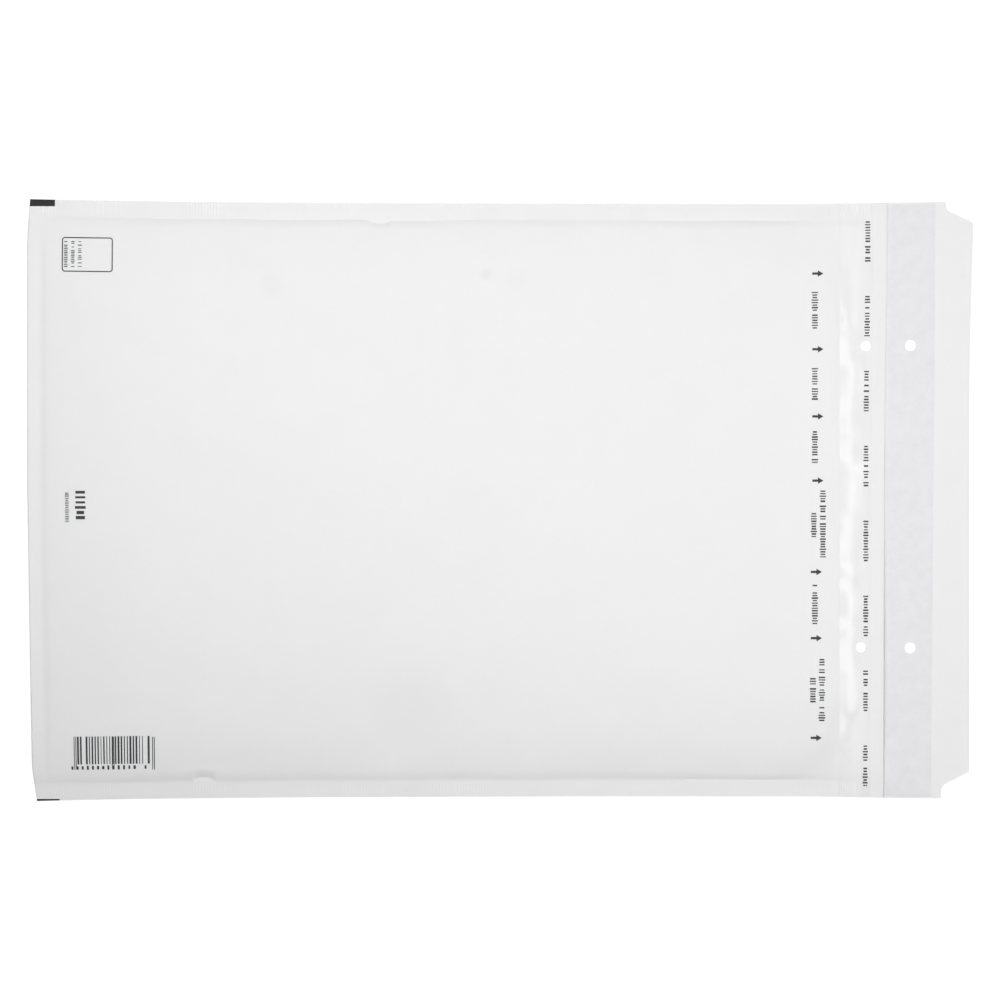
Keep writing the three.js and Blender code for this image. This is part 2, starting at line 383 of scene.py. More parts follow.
def thicken(obj, thickness, offset):
    solid = obj.modifiers.new("thickness", "SOLIDIFY")
    solid.thickness = thickness * mm
    solid.offset = offset
    settle(obj)
    smoothFaces(obj)


def smoothFaces(obj, angle=sharpFrom["plain"]):
    obj.data.polygons.foreach_set("use_smooth", [True] * len(obj.data.polygons))
    obj.data.set_sharp_from_angle(angle=math.radians(angle))


def reshape(obj, rule):  # rule takes and gives arrays of x, y, z in millimetres
    count = len(obj.data.vertices)
    flat = np.zeros(count * 3)
    obj.data.vertices.foreach_get("co", flat)
    x, y, z = (flat.reshape(-1, 3) / mm).T
    obj.data.vertices.foreach_set("co", placed(*rule(x, y, z)).ravel())
    obj.data.update()


def joinInto(target, others):
    with bpy.context.temp_override(active_object=target, selected_editable_objects=[target] + others):
        bpy.ops.object.join()
    return target


def joinAs(name, parts):
    joined = joinInto(parts[0], parts[1:])
    joined.name = name
    return joined


# Cutting a flat sheet to its outline with round holes, on a grid that can be folded afterwards
cutting = {"clear": 0.45,  # grid points stay that far from every rim
           "rimShare": 0.98,  # faces with their middle nearer to a hole's middle are in the hole
           "slantStep": 2, "sameLine": 1e-9, "samePoint": 1e-6}


def stations(*stretches):  # places along a line: from, to and step of each stretch
    parts = []
    for start, end, step in stretches:
        parts.append(np.linspace(start, end, max(2, round(abs(end - start) / step) + 1)))
    return np.unique(np.concatenate(parts).round(5))


def circle(cx, cy, radius, sides=28):
    turn = np.arange(sides) * 2 * math.pi / sides
    return np.stack([cx + radius * np.cos(turn), cy + radius * np.sin(turn)], axis=-1)


def insideLoop(points, loop):
    x, y = points.T
    inside = np.zeros(len(points), bool)
    for (x1, y1), (x2, y2) in zip(loop, np.roll(loop, -1, axis=0)):
        if y1 != y2:
            crosses = (y1 > y) != (y2 > y)
            inside ^= crosses & (x < (x2 - x1) * (y - y1) / (y2 - y1) + x1)
    return inside


def nearLoop(points, loop, reach):
    near = np.zeros(len(points), bool)
    for a, b in zip(loop, np.roll(loop, -1, axis=0)):
        along = b - a
        t = np.clip(((points - a) @ along) / (along @ along), 0, 1)
        near |= np.hypot(*(points - a - t[:, None] * along).T) < reach
    return near


def cutSheet(outline, holes, grids, clear=cutting["clear"]):
    grid = np.concatenate([np.stack(np.meshgrid(a, b, indexing="ij"), axis=-1).reshape(-1, 2)
                           for a, b in grids])
    gridX, gridY = (np.unique(np.concatenate(side)) for side in zip(*grids))
    keep = insideLoop(grid, outline) & ~nearLoop(grid, outline, clear)
    for cx, cy, radius in holes:
        keep &= np.hypot(grid[:, 0] - cx, grid[:, 1] - cy) > radius + clear
    rims = [edgePoints(outline, gridX, gridY)] + [circle(*hole) for hole in holes]
    points, edges = [], []
    for rim in rims:
        first = len(points)
        points.extend(rim)
        edges.extend((first + i, first + (i + 1) % len(rim)) for i in range(len(rim)))
    points.extend(grid[keep])
    found = delaunay_2d_cdt([Vector(p) for p in points], edges, [], 0, cutting["samePoint"])
    flat = np.array([tuple(v) for v in found[0]])
    faces = np.array([f for f in found[2] if len(f) == 3])
    middle = flat[faces].mean(axis=1)
    kept = insideLoop(middle, outline)
    for cx, cy, radius in holes:
        kept &= np.hypot(middle[:, 0] - cx, middle[:, 1] - cy) > radius * cutting["rimShare"]
    return flat, faces[kept]


def edgePoints(outline, gridX, gridY):  # corners of the outline, and the grid's places along its sides
    loop = []
    for a, b in zip(outline, np.roll(outline, -1, axis=0)):
        if abs(a[0] - b[0]) < cutting["sameLine"]:
            places = [(a[0], y) for y in gridY if min(a[1], b[1]) < y < max(a[1], b[1])]
        elif abs(a[1] - b[1]) < cutting["sameLine"]:
            places = [(x, a[1]) for x in gridX if min(a[0], b[0]) < x < max(a[0], b[0])]
        else:
            steps = max(1, round(math.dist(a, b) / cutting["slantStep"]))
            places = [mix(np.array(a), np.array(b), i / steps) for i in range(1, steps)]
        places = sorted((tuple(p) for p in places), key=lambda p: math.dist(p, a))
        loop += [tuple(a)] + places
    return np.array(loop)


def dropUnused(flat, faces):
    used = np.unique(faces)
    index = np.full(len(flat), -1)
    index[used] = np.arange(len(used))
    return flat[used], index[faces]


def mirrored(middleStep, *stretches):  # grid over the width: its middle, then stretches out to each side
    half = stretches[0][0]
    lower = [(-end, -start, step) for start, end, step in stretches]
    return stations((-half, half, middleStep), *stretches, *lower)


seamLine = env["halfWidth"] - env["seal"]
sealGrid = (seamLine, env["halfWidth"], 1.4)
acrossGrid = mirrored(3.8, (115, 140, 1.8), (140, seamLine, 0.7), sealGrid)
seamSpan = (138, seamLine + 0.1)
besideSeam = acrossGrid[(acrossGrid > seamSpan[0]) & (acrossGrid < seamSpan[1])]
fineGrid = mirrored(1.25, sealGrid)
backGrid = mirrored(5.2, (130, seamLine, 1.5), sealGrid)
filmGrid = mirrored(5.5, (115, 140, 2.8), (140, seamLine, 1.2), (seamLine, env["halfWidth"], 1.6))
lipHoles = [(x, y, env["holeRadius"]) for x, y in zip(env["lipHoleX"], env["holeY"])]
flapHoles = [(x, y, env["holeRadius"]) for x, y in zip(env["flapHoleX"], env["holeY"])]


# Nodes of shaders and of Geometry Nodes: an input takes a plain value or another node's output
def feed(tree, socket, value):
    if hasattr(value, "is_output"):
        tree.links.new(value, socket)
    else:
        socket.default_value = value


def addNode(tree, kind, **values):
    node = tree.nodes.new(kind)
    for label, value in values.items():
        feed(tree, node.inputs[label.replace("_", " ")], value)
    return node


def addMath(tree, operation, *values, kind="ShaderNodeMath"):
    node = tree.nodes.new(kind)
    node.operation = operation
    for socket, value in zip(node.inputs, values):
        feed(tree, socket, value)
    return next(output for output in node.outputs if output.enabled)


def addRange(tree, value, span, result):
    return addNode(tree, "ShaderNodeMapRange", Value=value, From_Min=span[0], From_Max=span[1],
                   To_Min=result[0], To_Max=result[1]).outputs["Result"]


def wire(tree, pairs):
    for output, target in pairs:
        tree.links.new(output, target)


# Shader groups that several materials share
def newGroup(name, inputs, outputs):
    group = bpy.data.node_groups.new(name, "ShaderNodeTree")
    for label, value in inputs.items():
        socket = group.interface.new_socket(label, in_out="INPUT", socket_type="NodeSocketFloat")
        socket.default_value = value
    for label in outputs:
        group.interface.new_socket(label, in_out="OUTPUT", socket_type="NodeSocketFloat")
    return group, group.nodes.new("NodeGroupInput").outputs, group.nodes.new("NodeGroupOutput").inputs


noiseMiddle = 0.5
noiseSpan = (0.3, 0.7)  # nearly all values of a noise
grainGroup = {"cloudDetail": (4, 0.6), "fibreDetail": (5, 0.65), "fibreStretch": (0.35, 1, 1), "speck": 0.03}
streakGroup = {"detail": 3, "stretch": (1, 0.12, 1)}


def stretchedNoise(group, place, stretch, **values):
    squeezed = addNode(group, "ShaderNodeMapping", Vector=place, Scale=stretch)
    return addNode(group, "ShaderNodeTexNoise", Vector=squeezed.outputs["Vector"], **values).outputs["Fac"]


def paperGrainGroup():  # cloudy formation and fine fibres of a paper sheet
    sizes = {"Cloud Scale": 70.0, "Cloud Depth": 0.05, "Fibre Scale": 1500.0}
    group, given, results = newGroup("paperGrain", sizes, ("Tone", "Sheen Mask", "Height"))
    place = addNode(group, "ShaderNodeTexCoord").outputs["Object"]
    detail, roughness = grainGroup["cloudDetail"]
    cloud = addNode(group, "ShaderNodeTexNoise", Vector=place, Scale=given["Cloud Scale"], Detail=detail,
                    Roughness=roughness).outputs["Fac"]
    detail, roughness = grainGroup["fibreDetail"]
    fibre = stretchedNoise(group, place, grainGroup["fibreStretch"], Scale=given["Fibre Scale"],
                           Detail=detail, Roughness=roughness)
    depth = addMath(group, "MULTIPLY", addMath(group, "SUBTRACT", cloud, noiseMiddle), given["Cloud Depth"])
    speck = addMath(group, "MULTIPLY", addMath(group, "SUBTRACT", fibre, noiseMiddle), grainGroup["speck"])
    tone = addMath(group, "ADD", addMath(group, "ADD", depth, 1.0), speck)
    wire(group, [(tone, results["Tone"]), (cloud, results["Sheen Mask"]), (fibre, results["Height"])])
    return group


def filmStreakGroup():  # drawn streaks and slight haze of a plastic film
    group, given, results = newGroup("filmStreak", {"Streak Scale": 220.0}, ("Haze",))
    place = addNode(group, "ShaderNodeTexCoord").outputs["Object"]
    streak = stretchedNoise(group, place, streakGroup["stretch"], Scale=given["Streak Scale"],
                            Detail=streakGroup["detail"])
    group.links.new(streak, results["Haze"])
    return group


paperGrain = paperGrainGroup()
filmStreak = filmStreakGroup()


def newMaterial(name, look):
    material = bpy.data.materials.new(name)
    material.use_nodes = True
    shader = material.node_tree.nodes["Principled BSDF"]
    shader.inputs["Base Color"].default_value = (*look["color"], 1)
    shader.inputs["Roughness"].default_value = look["plain"]
    return material, material.node_tree, shader


def addGroup(tree, group, values):
    node = tree.nodes.new("ShaderNodeGroup")
    node.node_tree = group
    for label, value in values.items():
        node.inputs[label].default_value = value
    return node.outputs


def tintBy(tree, color, tone):  # a plain colour times a tone that changes over the surface
    node = tree.nodes.new("ShaderNodeVectorMath")
    node.operation = "SCALE"
    node.inputs[0].default_value = color
    tree.links.new(tone, node.inputs["Scale"])
    return node.outputs[0]


def roughen(tree, shader, look, mask, height):  # roughness and bump that change over the surface
    distance, strength = look["bump"]
    bump = addNode(tree, "ShaderNodeBump", Distance=distance * mm, Strength=strength, Height=height)
    wire(tree, [(addRange(tree, mask, noiseSpan, look["roughness"]), shader.inputs["Roughness"]),
                (bump.outputs["Normal"], shader.inputs["Normal"])])


paperLook = {"color": (0.865, 0.865, 0.865), "plain": 0.55, "roughness": (0.5, 0.62), "bump": (0.03, 0.35),
             "grain": {"Cloud Scale": 55, "Cloud Depth": 0.035, "Fibre Scale": 1300},
             "mark": (0.02, 0.02, 0.022)}
markBox = {"x": -236.4, "y": 156.2, "footX": -234.1, "foot": -158.9}  # for the folding machine's sensor
# Spots that darken the paper's colour: the first three are smudges on the sheet, the last, broad one is
# painted shade beside the broad dent on the lower half
smudgesAndPaintedShade = [  # pixel, reach, depth
    ((486, 275), 4.0, 0.05), ((272, 286), 9.0, 0.02), ((515, 281), 8.0, 0.015), ((409, 704), 26.0, 0.02)]
spotDepthScale = 3  # heights count that much more, so that the back stays unmarked
spotCoreShare = 0.4  # share of the reach that is evenly dark


def paperMaterial():
    material, tree, shader = newMaterial("whitePaper", paperLook)
    grain = addGroup(tree, paperGrain, paperLook["grain"])
    place = addNode(tree, "ShaderNodeTexCoord").outputs["Object"]
    tone = grain["Tone"]
    deeper = addMath(tree, "MULTIPLY", place, (1, 1, spotDepthScale), kind="ShaderNodeVectorMath")
    # each spot darkens the paper's colour: small smudges, and for the broad last one painted shade
    for spot, reach, depth in smudgesAndPaintedShade:
        height = float(frontZ(*fromPhoto(*spot))) * spotDepthScale
        centre = [c * mm for c in (*seenAt(*spot), height)]
        away = addMath(tree, "DISTANCE", deeper, centre, kind="ShaderNodeVectorMath")
        fade = addRange(tree, away, (reach * spotCoreShare * mm, reach * mm), (1 - depth, 1.0))
        tone = addMath(tree, "MULTIPLY", tone, fade)
    split = addNode(tree, "ShaderNodeSeparateXYZ", Vector=place).outputs
    top = addMath(tree, "MULTIPLY", addMath(tree, "LESS_THAN", split["X"], markBox["x"] * mm),
                  addMath(tree, "GREATER_THAN", split["Y"], markBox["y"] * mm))
    foot = addMath(tree, "MULTIPLY", addMath(tree, "LESS_THAN", split["X"], markBox["footX"] * mm),
                   addMath(tree, "LESS_THAN", split["Y"], markBox["foot"] * mm))
    inked = tree.nodes.new("ShaderNodeMix")
    inked.data_type = "RGBA"
    inked.inputs["B"].default_value = (*paperLook["mark"], 1)
    wire(tree, [
        (addMath(tree, "MAXIMUM", top, foot), inked.inputs["Factor"]),
        (tintBy(tree, paperLook["color"], tone), inked.inputs["A"]),
        (inked.outputs["Result"], shader.inputs["Base Color"]),
    ])
    roughen(tree, shader, paperLook, grain["Sheen Mask"], grain["Height"])
    return material


linerLook = {"color": (0.808, 0.806, 0.826), "plain": 0.4, "roughness": (0.32, 0.48), "bump": (0.05, 0.3),
             "grain": {"Cloud Scale": 210, "Cloud Depth": 0.13, "Fibre Scale": 1500}}
tapeLook = {"color": (0.885, 0.879, 0.88), "plain": 0.15, "roughness": (0.215, 0.235), "bump": (0.04, 0.25),
            "streak": 260, "tone": (0.985, 1.01)}
glueLook = {"color": (0.74, 0.66, 0.44), "plain": 0.35, "roughness": (0.25, 0.45), "bump": (0.1, 0.4),
            "streak": 420, "tone": (0.94, 1.04)}
filmLook = {"color": (0.86, 0.9, 0.91), "plain": 0.12, "roughness": (0.08, 0.2), "bump": (0.05, 0.2),
            "streak": 180, "transmission": 0.75, "ior": 1.2}
inkLook = {"color": (0.045, 0.045, 0.05), "plain": 0.6,
           "grain": {"Cloud Scale": 600, "Cloud Depth": 0.4, "Fibre Scale": 2600}}


def streakedMaterial(name, look):
    material, tree, shader = newMaterial(name, look)
    haze = addGroup(tree, filmStreak, {"Streak Scale": look["streak"]})["Haze"]
    if "tone" in look:
        tone = addRange(tree, haze, noiseSpan, look["tone"])
        tree.links.new(tintBy(tree, look["color"], tone), shader.inputs["Base Color"])
    else:
        shader.inputs["Transmission Weight"].default_value = look["transmission"]
        shader.inputs["IOR"].default_value = look["ior"]
    roughen(tree, shader, look, haze, haze)
    return material


def grainedMaterial(name, look):
    material, tree, shader = newMaterial(name, look)
    grain = addGroup(tree, paperGrain, look["grain"])
    tree.links.new(tintBy(tree, look["color"], grain["Tone"]), shader.inputs["Base Color"])
    if "bump" in look:
        roughen(tree, shader, look, grain["Sheen Mask"], grain["Sheen Mask"])
    return material


whitePaper = paperMaterial()
siliconePaper = grainedMaterial("siliconePaper", linerLook)
clearTape = streakedMaterial("clearTape", tapeLook)
bubbleFilm = streakedMaterial("bubbleFilm", filmLook)
hotMelt = streakedMaterial("hotMelt", glueLook)
darkInk = grainedMaterial("darkInk", inkLook)
print("materials made")


# Outer paper: one blank, cut flat, then folded round the bottom
corners = {1: {"length": 15, "depth": 4.5, "inset": 11.25, "radius": 3.8},
           -1: {"length": 15.1, "depth": 7.0, "inset": 14.6, "radius": 5.0}}
arcPoints = 7
bentGrid = (11, 0.75)  # reach and step of the finer grid at each arch and wrinkle


def cornerOutline(side):  # cut corner of the flap, from its tip to its side
    half, tip = env["halfWidth"], env["tipX"]
    corner = corners[side]
    inner = np.array([tip - corner["length"], half - corner["depth"]])
    end = np.array([tip, half - corner["inset"]])
    slant = (end - inner) / np.linalg.norm(end - inner)
    angle = math.pi / 2 + math.atan2(-slant[1], slant[0])
    centre = inner + np.array([corner["radius"], corner["radius"] / math.tan(angle / 2)])
    last = math.pi + math.atan2(slant[0], -slant[1])
    arc = [centre + corner["radius"] * np.array([math.cos(a), math.sin(a)])
           for a in np.linspace(last, math.pi, arcPoints)]
    points = [end] + arc + [np.array([inner[0], half])]
    return [(p[0], side * p[1]) for p in points]


def foldOver(path, end, radius, depth):  # from a length along the blank to x, and the share of front in z
    bendStart = end - foldInner
    bendEnd = bendStart + math.pi * radius
    turn = np.clip((path - bendStart) / radius, 0, math.pi)
    x = np.where(path <= bendStart, end - path, foldInner + path - bendEnd)
    inBend = (path > bendStart) & (path < bendEnd)
    return np.where(inBend, foldInner - depth * np.sin(turn), x), (1 - np.cos(turn)) / 2


def foldPaper(flat):
    path, y = flat.T
    x, share = foldOver(path, env["tipX"], foldRadius, env["foldDepth"])
    low, high = backZ(np.maximum(x, foldInner), y), frontZ(np.maximum(x, env["foldX"]), y)
    return placed(x, y, mix(low, high, share))


def makePaper():
    tip, half = env["tipX"], env["halfWidth"]
    bendStart = tip - foldInner
    bendEnd = bendStart + math.pi * foldRadius
    frontEnd = bendEnd + env["mouthX"] - foldInner
    toPath = lambda x: tip - x
    onFront = lambda x: frontEnd - (env["mouthX"] - x)
    flapGrid = stations((0, 44, 2.2), (44, 45.5, 0.5), (45.5, 47.1, 0.16), (47.1, 48, 0.45), (48, 74, 1.6))
    frontGrid = stations((bendStart, bendEnd, 0.8), (bendEnd + 1, bendEnd + 30, 1.5),
                         (bendEnd + 33, frontEnd - 37, 3.2))
    grids = [
        (flapGrid, acrossGrid),
        (stations((80, bendStart - 26, 8), (bendStart - 22, bendStart - 1, 2)), backGrid),
        (frontGrid, acrossGrid),
        (stations((frontEnd - 35, frontEnd - 1, 1.15)), fineGrid),
    ]
    bent = [(pixelPlace, side) for pixelPlace, side, *_ in arches]
    bent += [(ridge[0], 1 if ridge[0][1] < photoSide / 2 else -1) for ridge in wrinkles]
    for pixelPlace, side in bent:
        middle = onFront(fromPhoto(*pixelPlace)[0])
        reach, step = bentGrid
        grids.append((stations((middle - reach, middle + reach, step)), np.sort(side * besideSeam)))
    upper = [(toPath(x), y) for x, y in cornerOutline(1)]
    lower = [(toPath(x), y) for x, y in cornerOutline(-1)]
    outline = np.array(lower[::-1][:1] + [(frontEnd, -half), (frontEnd, half)] + upper[::-1] + lower[:-1])
    holes = [(toPath(x), y, r) for x, y, r in flapHoles + lipHoles]
    holes += [(onFront(x), y, r) for x, y, r in lipHoles]
    flat, faces = dropUnused(*cutSheet(outline, holes, grids))
    paper = meshFrom("outerPaper", foldPaper(flat), faces)
    thicken(paper, env["paper"], inwards)
    smoothFaces(paper, sharpFrom["paper"])
    paper.data.materials.append(whitePaper)
    return paper


outerPaper = makePaper()
print("outer paper", len(outerPaper.data.polygons), "faces")


# Geometry Nodes trees for what repeats: each makes its pattern flat, and it is then laid on the paper
def newTree(name, inputs):
    tree = bpy.data.node_groups.new(name, "GeometryNodeTree")
    tree.interface.new_socket("Geometry", in_out="OUTPUT", socket_type="NodeSocketGeometry")
    for label, kind in inputs:
        tree.interface.new_socket(label, in_out="INPUT", socket_type="NodeSocket" + kind)
    return tree, tree.nodes.new("NodeGroupInput").outputs, tree.nodes.new("NodeGroupOutput")


def finishTree(tree, outputs, instances, material):
    real = addNode(tree, "GeometryNodeRealizeInstances", Geometry=instances)
    painted = addNode(tree, "GeometryNodeSetMaterial", Geometry=real.outputs[0], Material=material)
    tree.links.new(painted.outputs[0], outputs.inputs[0])


def grow(name, tree, values):  # runs a tree with its sizes and keeps the result as a plain mesh
    obj = addObject(name, bpy.data.meshes.new(name))
    modifier = obj.modifiers.new("pattern", "NODES")
    modifier.node_group = tree
    for item in tree.interface.items_tree:
        if item.in_out == "INPUT":
            modifier[item.identifier] = values[item.name]
    return settle(obj)


def ribTree():
    tree, given, outputs = newTree("sealRibs", [
        ("Count", "Int"), ("Start", "Vector"), ("Step", "Vector"), ("Sides", "Int"), ("Radius", "Float"),
        ("Length", "Float"), ("Flatness", "Float"), ("Material", "Material")])
    line = addNode(tree, "GeometryNodeMeshLine", Count=given["Count"], Start_Location=given["Start"],
                   Offset=given["Step"])
    bar = addNode(tree, "GeometryNodeMeshCylinder", Vertices=given["Sides"], Radius=given["Radius"],
                  Depth=given["Length"])
    flat = addNode(tree, "ShaderNodeCombineXYZ", X=1.0, Y=given["Flatness"], Z=1.0)
    laid = addNode(tree, "GeometryNodeTransform", Geometry=bar.outputs["Mesh"], Scale=flat.outputs[0],
                   Rotation=(math.pi / 2, 0, 0))
    ribs = addNode(tree, "GeometryNodeInstanceOnPoints", Points=line.outputs[0], Instance=laid.outputs[0])
    finishTree(tree, outputs, ribs.outputs[0], given["Material"])
    return tree


sealRibs = ribTree()
ribs = {"length": 6.9, "fromEdge": 4.2, "sink": 0.02, "patch": 42, "patchMean": 0.5, "patchSwing": 0.6,
        "patchLimits": (0.05, 1.3), "acrossSpan": (152, 157), "acrossShare": (0.35, 1.2),
        "upperLeft": (1.6, 70, 150)}  # how much deeper at the upper left, and where
paperRibs = {"pitch": 1.62, "radius": 0.72, "flatness": 0.12, "sides": 8, "fromFold": 7, "fromTape": 0.3,
             "fromMouth": 5}
tapeRibs = {"pitch": 1.4, "radius": 0.34, "flatness": 0.55, "sides": 4}


def ribStrength(x, y):  # the crimp bites in patches, and most at the very edge
    swing = ribs["patchSwing"] * waves(x, 0 * x, ribs["patch"], seeds["ribs"])
    patch = np.clip(ribs["patchMean"] + swing, *ribs["patchLimits"])
    extra, *span = ribs["upperLeft"]
    deeper = 1 + extra * ramp(-x, *span) * ramp(y, 0, 1)
    return patch * deeper * mix(*ribs["acrossShare"], ramp(np.abs(y), *ribs["acrossSpan"]))


def makeRibs(name, startX, endX, side, height, material, look, strength):
    count = int((endX - startX) / look["pitch"])
    y = side * (env["halfWidth"] - ribs["fromEdge"])
    bars = grow(name, sealRibs, {
        "Count": count, "Start": (startX * mm, y * mm, 0), "Step": (look["pitch"] * mm, 0, 0),
        "Sides": look["sides"], "Radius": look["radius"] * mm, "Length": ribs["length"] * mm,
        "Flatness": look["flatness"], "Material": material})
    reshape(bars, lambda x, y, z: (x, y, z * strength(x, y) + height(x, y) - ribs["sink"]))
    return bars


def makeSealRibs():
    parts = []
    for side in (-1, 1):
        for end, surface in ((tapeLow.x - paperRibs["fromTape"], frontZ),
                             (env["mouthX"] - paperRibs["fromMouth"], backZ)):
            parts.append(makeRibs("ribs", env["foldX"] + paperRibs["fromFold"], end, side, surface,
                                  whitePaper, paperRibs, ribStrength))
    joined = joinAs("sealRibs", parts)
    smoothFaces(joined)
    return joined


sealRibRows = makeSealRibs()
print("seal ribs", len(sealRibRows.data.polygons), "faces")


# Strips: a flat rectangle with punched holes, laid on a surface
strips = {"linerLean": -0.35, "leanSpan": (-70, 50), "leanReach": 6, "linerEdge": (0.8, 0.14),
          "edgeStep": 0.4, "tapeInset": 1.1, "tapeLift": 0.06, "tape": 0.05, "ribInset": 0.6,
          "glue": 0.1, "liner": 0.08, "lift": 0.03}


def makeStrip(name, low, high, holes, surface, lift, thickness, material, gridY, step=1.6, lean=0.0,
              edge=(0.8, 0)):
    outline = np.array([(low[0], low[1]), (high[0], low[1]), (high[0], high[1]), (low[0], high[1])], float)
    width, drop = edge  # the far edge bends down by this much
    gridX = stations((low[0], high[0] - width, step), (high[0] - width, high[0], strips["edgeStep"]))
    flat, faces = dropUnused(*cutSheet(outline, holes, [(gridX, gridY)]))
    x, y = flat.T
    x = x + lean * ramp(y, *strips["leanSpan"]) * np.clip(1 - (x - low[0]) / strips["leanReach"], 0, 1)
    z = surface(x, y) + lift - drop * ramp(x, high[0] - width, high[0])
    strip = meshFrom(name, placed(x, y, z), faces)
    thicken(strip, thickness, outwards)
    strip.data.materials.append(material)
    return strip


flapTop = lambda x, y: flapZ(x, y) + env["paper"]

tapeStart = (tapeLow.x + strips["tapeInset"], tapeLow.y)
reopenTape = makeStrip("reopenTape", tapeStart, tapeHigh, lipHoles, frontZ, strips["tapeLift"],
                       strips["tape"], clearTape, fineGrid, 1.0)
onTape = lambda x, y: frontZ(x, y) + strips["tapeLift"] + strips["tape"]
joinInto(reopenTape, [makeRibs("tapeRibs", tapeStart[0] + strips["ribInset"], tapeHigh.x, side, onTape,
                               clearTape, tapeRibs, lambda x, y: 1.0) for side in (-1, 1)])
adhesiveStrip = makeStrip("adhesiveStrip", glueLow, glueHigh, flapHoles, flapTop, strips["lift"],
                          strips["glue"], hotMelt, acrossGrid)
linerLift = 2 * strips["lift"] + strips["glue"]
releaseLiner = makeStrip("releaseLiner", linerLow, linerHigh, flapHoles, flapTop, linerLift,
                         strips["liner"], siliconePaper, acrossGrid, lean=strips["linerLean"],
                         edge=strips["linerEdge"])
print("tape, adhesive and liner laid")

# Lining: a film bag inside the paper, with rows of air bubbles on its inner side
bubbles = {"pitch": 10.6, "radius": 4.7, "height": 2.0, "rows": (38, 31), "fromEnds": 8, "sides": 9,
           "rings": ((1.0, 0.0), (0.93, 0.62), (0.66, 0.93)),  # radius and height of each
           "least": 0.05, "between": 0.3}  # least height, and the room between the two panels' bubbles
lining = {"clear": 0.12, "inset": 0.4, "archRoom": (18, 14), "seamRoom": (0.5, 14), "pressed": 0.2}
filmGap = env["paper"] + lining["clear"]
rowPitch = math.sqrt(3) / 2  # between staggered rows, as a share of the pitch


def hollow(x, y):  # room for the film under the arches and wrinkles of the paper
    total = 0.0
    along, across = lining["archRoom"]
    for pixelPlace, side, reach, height in arches:
        place = fromPhoto(*pixelPlace)[0]
        total = total + height * np.exp(-((x - place) / along) ** 2 - ((y - side * seamLine) / across) ** 2)
    height, reach = lining["seamRoom"]
    return total / 2 + height * np.exp(-((seamLine - np.abs(y)) / reach) ** 2)


def makeFilm():
    end = liningHigh.x
    bend = foldRadius - filmGap
    bendStart = end - foldInner
    bendEnd = bendStart + math.pi * bend
    frontEnd = bendEnd + bendStart
    pathGrid = stations((0, 30, 1.5), (30, bendStart - 24, 9), (bendStart - 24, bendStart, 2),
                        (bendStart, bendEnd, 1), (bendEnd, bendEnd + 24, 2), (bendEnd + 24, frontEnd - 30, 9),
                        (frontEnd - 30, frontEnd, 1.5))
    half = env["halfWidth"] - lining["inset"]
    outline = np.array([(0, -half), (frontEnd, -half), (frontEnd, half), (0, half)], float)
    holes = [(end - x, y, r) for x, y, r in lipHoles] + [(frontEnd - (end - x), y, r) for x, y, r in lipHoles]
    flat, faces = dropUnused(*cutSheet(outline, holes, [(pathGrid, np.clip(filmGrid, -half, half))]))
    path, y = flat.T
    x, share = foldOver(path, end, bend, env["foldDepth"] - filmGap)
    safe = np.maximum(x, foldInner)
    low, high = backZ(safe, y) + filmGap, frontZ(safe, y) - filmGap
    high = np.maximum(high - hollow(x, y), np.minimum(high, low + lining["pressed"]))
    film = meshFrom("bubbleLining", placed(x, y, mix(low, high, share)), faces)
    thicken(film, env["film"], inwards)
    film.data.materials.append(bubbleFilm)
    return film


def domeMesh():
    dome = bpy.data.meshes.new("dome")
    rings, sides = bubbles["rings"], bubbles["sides"]
    points = [(r * math.cos(2 * math.pi * i / sides), r * math.sin(2 * math.pi * i / sides), h)
              for r, h in rings for i in range(sides)] + [(0, 0, 1), (0, 0, 0)]
    faces = []
    for k in range(len(rings) - 1):
        for i in range(sides):
            j = (i + 1) % sides
            faces.append((k * sides + i, k * sides + j, (k + 1) * sides + j, (k + 1) * sides + i))
    top, bottom = len(points) - 2, len(points) - 1
    last = (len(rings) - 1) * sides
    for i in range(sides):
        faces.append((last + i, last + (i + 1) % sides, top))
        faces.append(((i + 1) % sides, i, bottom))
    dome.from_pydata(points, [], faces)
    return addObject("dome", dome)


def bubbleTree():
    tree, given, outputs = newTree("bubbleRows", [
        ("Columns", "Int"), ("Rows", "Int"), ("Pitch", "Float"), ("Radius", "Float"), ("Height", "Float"),
        ("Dome", "Object"), ("Material", "Material")])
    alongStep = addNode(tree, "ShaderNodeCombineXYZ", X=given["Pitch"])
    acrossStep = addNode(tree, "ShaderNodeCombineXYZ", Y=addMath(tree, "MULTIPLY", given["Pitch"], rowPitch))
    row = addNode(tree, "GeometryNodeMeshLine", Count=given["Columns"], Offset=alongStep.outputs[0])
    column = addNode(tree, "GeometryNodeMeshLine", Count=given["Rows"], Offset=acrossStep.outputs[0])
    odd = addMath(tree, "MODULO", addNode(tree, "GeometryNodeInputIndex").outputs[0], 2)
    shift = addMath(tree, "MULTIPLY", addMath(tree, "MULTIPLY", given["Pitch"], 0.5), odd)
    moved = addNode(tree, "ShaderNodeCombineXYZ", X=shift)
    staggered = addNode(tree, "GeometryNodeSetPosition", Geometry=column.outputs[0], Offset=moved.outputs[0])
    rows = addNode(tree, "GeometryNodeInstanceOnPoints", Points=staggered.outputs[0], Instance=row.outputs[0])
    points = addNode(tree, "GeometryNodeRealizeInstances", Geometry=rows.outputs[0])
    size = addNode(tree, "ShaderNodeCombineXYZ", X=given["Radius"], Y=given["Radius"], Z=given["Height"])
    source = addNode(tree, "GeometryNodeObjectInfo", Object=given["Dome"])
    domes = addNode(tree, "GeometryNodeInstanceOnPoints", Points=points.outputs[0],
                    Instance=source.outputs["Geometry"], Scale=size.outputs[0])
    finishTree(tree, outputs, domes.outputs[0], given["Material"])
    return tree


